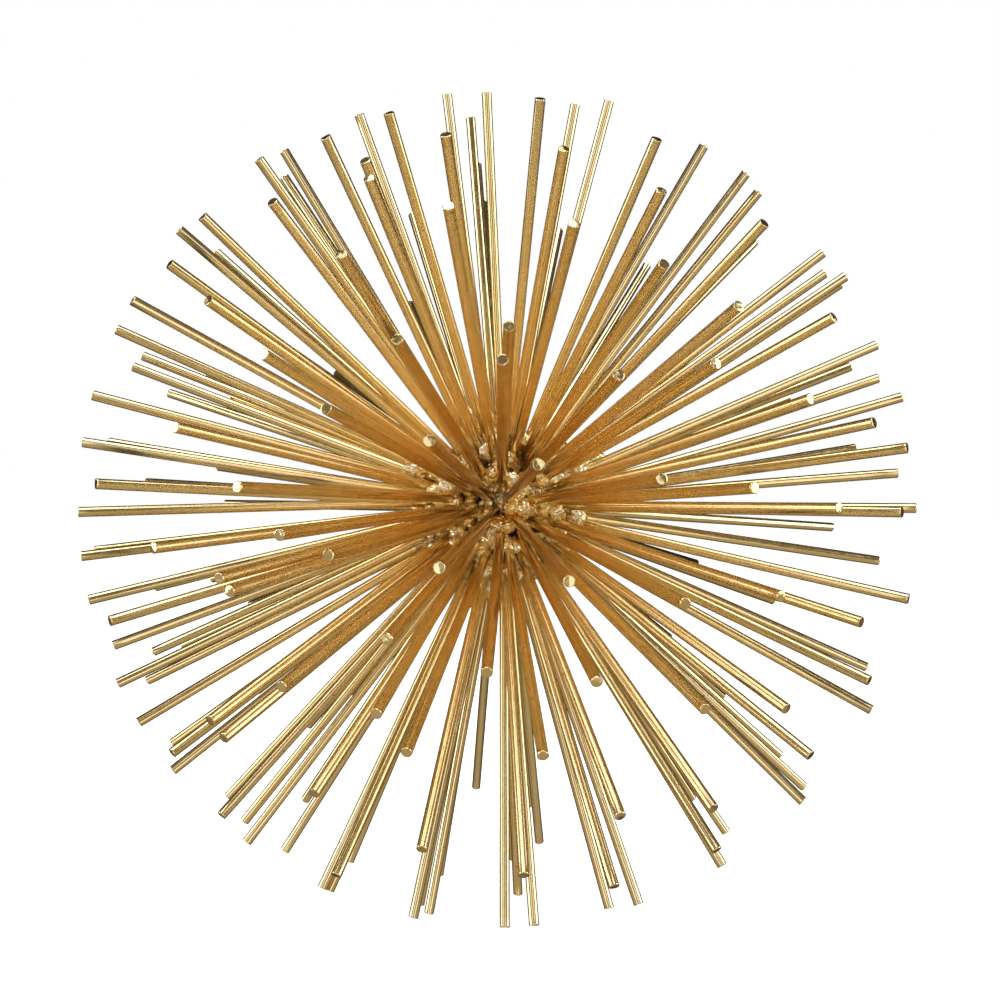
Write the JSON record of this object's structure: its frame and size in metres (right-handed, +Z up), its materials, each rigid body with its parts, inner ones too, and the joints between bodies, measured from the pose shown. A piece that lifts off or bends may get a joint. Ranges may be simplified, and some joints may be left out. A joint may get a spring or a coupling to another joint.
{
  "type": "decorative spiked metal ball",
  "caption": "Gold-finished table ornament: straight round wire spikes of one length, brazed to a small core ball and pointing every way; it rests on its spike tips.",
  "frame": {"origin": "on the surface that the ball rests on, straight under the middle of the core ball", "axes": "+Z up, -Y towards the front, +X to the right as seen from the front"},
  "size_m": [0.2294, 0.228, 0.2284],
  "materials": {
    "spikes": "satin gold lacquer over steel wire, finely speckled",
    "core": "dull dark gold, rough",
    "braze": "bright pale gold, lumpy"
  },
  "bodies": {
    "root": {"core_ball": "core", "braze_beads_right": "braze", "braze_beads_left": "braze", "braze_beads_rear": "braze", "braze_beads_front": "braze", "braze_beads_top": "braze", "braze_beads_bottom": "braze", "front_spikes_1": "spikes", "front_spikes_2": "spikes", "front_spikes_3": "spikes", "front_spikes_4": "spikes", "front_spikes_5": "spikes", "front_spikes_6": "spikes", "front_spikes_7": "spikes", "front_spikes_8": "spikes", "front_spikes_9": "spikes", "front_spikes_10": "spikes", "front_spikes_11": "spikes", "front_spikes_12": "spikes", "rim_spikes_1": "spikes", "rim_spikes_2": "spikes", "rim_spikes_3": "spikes", "rim_spikes_4": "spikes", "rim_spikes_5": "spikes", "rim_spikes_6": "spikes", "rim_spikes_7": "spikes", "rim_spikes_8": "spikes", "rim_spikes_9": "spikes", "rim_spikes_10": "spikes", "rim_spikes_11": "spikes", "rim_spikes_12": "spikes", "rear_spikes_1": "spikes", "rear_spikes_2": "spikes", "rear_spikes_3": "spikes", "rear_spikes_4": "spikes", "rear_spikes_5": "spikes", "rear_spikes_6": "spikes", "rear_spikes_7": "spikes", "rear_spikes_8": "spikes", "rear_spikes_9": "spikes", "rear_spikes_10": "spikes", "rear_spikes_11": "spikes", "rear_spikes_12": "spikes"}
  },
  "joints": []
}
